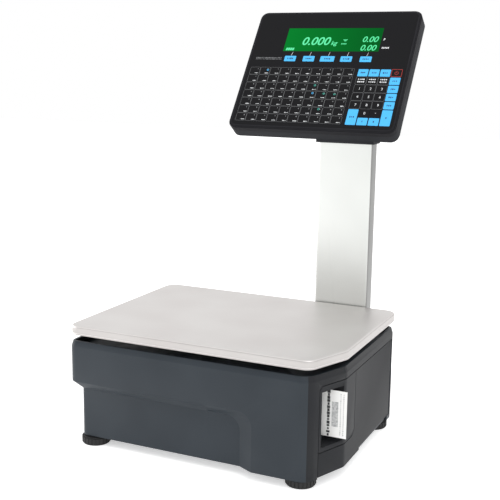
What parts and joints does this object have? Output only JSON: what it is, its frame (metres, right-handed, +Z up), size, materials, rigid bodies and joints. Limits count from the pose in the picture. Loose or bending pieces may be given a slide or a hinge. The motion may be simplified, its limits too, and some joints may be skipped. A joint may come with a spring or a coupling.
{
  "type": "label printing scale",
  "caption": "Counter weighing scale with a steel platter, a side label printer behind a hinged door, and a tilted keypad and display head on a rear post.",
  "frame": {"origin": "middle of the whole object at table level, under the four feet; X and Y are the middle of the bounding box", "axes": "+X to the right (the printer side), +Y to the back (the post side), +Z up; the operator stands on the -Y side"},
  "size_m": [0.386, 0.4064, 0.6031],
  "materials": {
    "casing_moulding": "fine-textured slate grey ABS moulding",
    "rear_shell_moulding": "fine-textured dark grey ABS moulding",
    "stainless_sheet": "satin stainless steel with a fine grain",
    "post_steel": "brushed stainless rectangular tube",
    "bracket_steel": "zinc-plated sheet steel",
    "ground_steel": "bright ground steel rod",
    "fasteners": "zinc-plated fasteners",
    "cast_alloy": "as-cast aluminium alloy",
    "cell_alloy": "machined aluminium",
    "foot_rubber": "black ribbed rubber on a steel stud",
    "pad_rubber": "soft black rubber",
    "black_moulding": "black engineering plastic",
    "rocker_red": "glossy red plastic",
    "gear_nylon": "natural nylon",
    "circuit_board": "green circuit board with components",
    "label_paper": "white thermal label paper",
    "liner_paper": "yellowish glazed backing paper",
    "level_vial": "clear vial with green-yellow fluid in a black ring",
    "keypad_film": "printed polyester overlay film",
    "dome_steel": "stainless snap domes",
    "display_glass": "backlit green liquid-crystal display",
    "window_glass": "dark tinted display window"
  },
  "bodies": {
    "base": {"base_pan": "casing_moulding", "upper_casing": "casing_moulding", "outlet_bezel": "casing_moulding", "post_shroud": "casing_moulding", "connector_plate": "bracket_steel", "power_inlet": "black_moulding", "data_sockets": "black_moulding", "main_board": "circuit_board", "power_supply": "circuit_board", "load_cell": "cell_alloy", "cell_base_block": "cast_alloy", "cell_top_block": "cast_alloy", "platter_frame": "cast_alloy", "platter_pads": "pad_rubber", "overload_stops": "bracket_steel", "spirit_level": "level_vial", "foot_nuts": "fasteners", "shell_screws": "fasteners", "machine_bolts": "fasteners", "post": "post_steel", "post_bracket": "bracket_steel", "post_screws": "fasteners", "printer_frame": "bracket_steel", "frame_pillars": "cast_alloy", "feed_motor": "black_moulding", "lever_pin": "ground_steel", "peel_bar": "ground_steel", "guide_posts": "ground_steel", "roll_spindle": "ground_steel", "label_strip": "label_paper", "liner_strip": "liner_paper", "rewind_belt": "pad_rubber", "door_pin": "ground_steel", "door_latch": "black_moulding", "head_front": "casing_moulding", "head_rear": "rear_shell_moulding", "keypad_overlay": "keypad_film", "lcd_panel": "display_glass", "display_board": "circuit_board", "key_domes": "dome_steel", "customer_window": "window_glass", "head_bracket": "bracket_steel", "display_cable": "black_moulding"},
    "platter": {"platter": "stainless_sheet"},
    "door": {"printer_door": "casing_moulding"},
    "front_left_foot": {"foot_front_left": "foot_rubber"},
    "front_right_foot": {"foot_front_right": "foot_rubber"},
    "rear_left_foot": {"foot_rear_left": "foot_rubber"},
    "rear_right_foot": {"foot_rear_right": "foot_rubber"},
    "rocker": {"power_rocker": "rocker_red"},
    "platen": {"platen_shaft": "ground_steel", "platen_roller": "pad_rubber", "platen_gear": "gear_nylon"},
    "pinion": {"motor_pinion": "gear_nylon"},
    "rewind": {"rewind_spool": "black_moulding"},
    "roll": {"roll_hub": "black_moulding", "label_roll": "label_paper"},
    "lever": {"head_lever": "bracket_steel", "print_head": "cell_alloy", "head_spring": "ground_steel"}
  },
  "joints": [
    {"name": "platter_lift", "type": "slide", "parent": "base", "child": "platter", "axis": [0, 0, 1], "range_m": [0, 0.04]},
    {"name": "door_swing", "type": "hinge", "parent": "base", "child": "door", "pos_m": [0.1825, 0.05885, 0.07], "axis": [0, 0, 1], "range_deg": [0, 90]},
    {"name": "front_left_foot_turn", "type": "hinge", "parent": "base", "child": "front_left_foot", "pos_m": [-0.1655, -0.17715, 0.02], "axis": [0, 0, 1], "continuous": true},
    {"name": "front_right_foot_turn", "type": "hinge", "parent": "base", "child": "front_right_foot", "pos_m": [0.1426, -0.17715, 0.02], "axis": [0, 0, 1], "continuous": true},
    {"name": "rear_left_foot_turn", "type": "hinge", "parent": "base", "child": "rear_left_foot", "pos_m": [-0.1655, 0.04685, 0.02], "axis": [0, 0, 1], "continuous": true},
    {"name": "rear_right_foot_turn", "type": "hinge", "parent": "base", "child": "rear_right_foot", "pos_m": [0.165, 0.05485, 0.02], "axis": [0, 0, 1], "continuous": true},
    {"name": "rocker_tip", "type": "hinge", "parent": "base", "child": "rocker", "pos_m": [-0.105, 0.07235, 0.066], "axis": [1, 0, 0], "range_deg": [-16, 0]},
    {"name": "platen_turn", "type": "hinge", "parent": "base", "child": "platen", "pos_m": [0.143, -0.14475, 0.085], "axis": [0, 0, 1], "continuous": true},
    {"name": "pinion_turn", "type": "hinge", "parent": "base", "child": "pinion", "pos_m": [0.13126, -0.13713, 0.051], "axis": [0, 0, 1], "continuous": true},
    {"name": "rewind_turn", "type": "hinge", "parent": "base", "child": "rewind", "pos_m": [0.152, -0.11415, 0.085], "axis": [0, 0, 1], "continuous": true},
    {"name": "roll_turn", "type": "hinge", "parent": "base", "child": "roll", "pos_m": [0.134, 0.00885, 0.09], "axis": [0, 0, 1], "continuous": true},
    {"name": "head_release", "type": "hinge", "parent": "base", "child": "lever", "pos_m": [0.103, -0.16715, 0.09], "axis": [0, 0, 1], "range_deg": [-8, 0], "stiffness_Nm_per_rad": 0.3, "springref_deg": 20.05}
  ],
  "couplings": [
    {"joint": "pinion_turn", "follows": "platen_turn", "ratio": -1.3333},
    {"joint": "rewind_turn", "follows": "platen_turn", "ratio": 0.66667},
    {"joint": "roll_turn", "follows": "platen_turn", "ratio": -0.19048}
  ]
}
